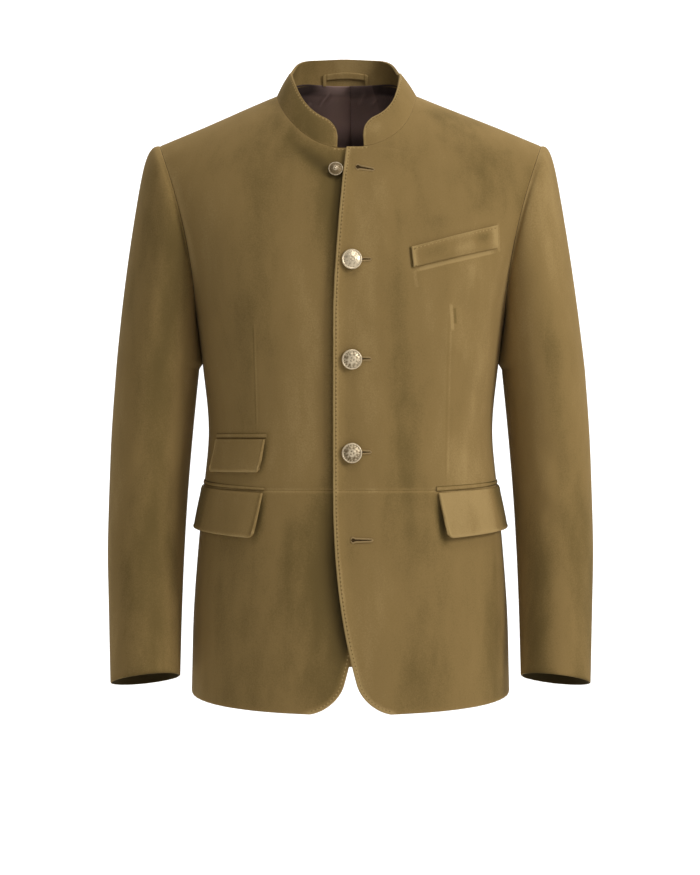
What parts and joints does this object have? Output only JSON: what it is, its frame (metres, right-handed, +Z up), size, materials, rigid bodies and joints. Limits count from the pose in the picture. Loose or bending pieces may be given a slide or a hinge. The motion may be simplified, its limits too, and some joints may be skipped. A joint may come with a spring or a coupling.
{
  "type": "blazer",
  "caption": "Suede blazer with a stand collar, single-breasted with metal shank buttons, flapped hip pockets, ticket pocket and breast welt, filled out as worn",
  "frame": {"origin": "between the two points where the shoulder seams meet the collar, where the wearer carries the coat", "axes": "+X is the wearer's left, -Y the front of the coat, +Z up"},
  "size_m": [0.5818, 0.2664, 0.7833],
  "materials": {
    "suede": "olive tan suede with a short mottled nap",
    "lining": "dark brown satin lining",
    "button_metal": "pale aged metal with a raised rim"
  },
  "bodies": {
    "root": {"front_left_chest": "suede", "front_left_skirt": "suede", "front_right_chest": "suede", "front_right_skirt": "suede", "back_left": "suede", "back_right": "suede", "sleeve_left_top": "suede", "sleeve_left_under": "suede", "sleeve_right_top": "suede", "sleeve_right_under": "suede", "collar": "suede", "hanger_loop": "suede", "breast_welt": "suede", "hip_flap_left": "suede", "hip_flap_right": "suede", "ticket_flap": "suede", "hip_jet_left": "suede", "hip_jet_right": "suede", "ticket_jet": "suede", "lining_back": "lining", "button_neck": "button_metal", "button_chest": "button_metal", "button_middle": "button_metal", "button_waist": "button_metal"}
  },
  "joints": []
}
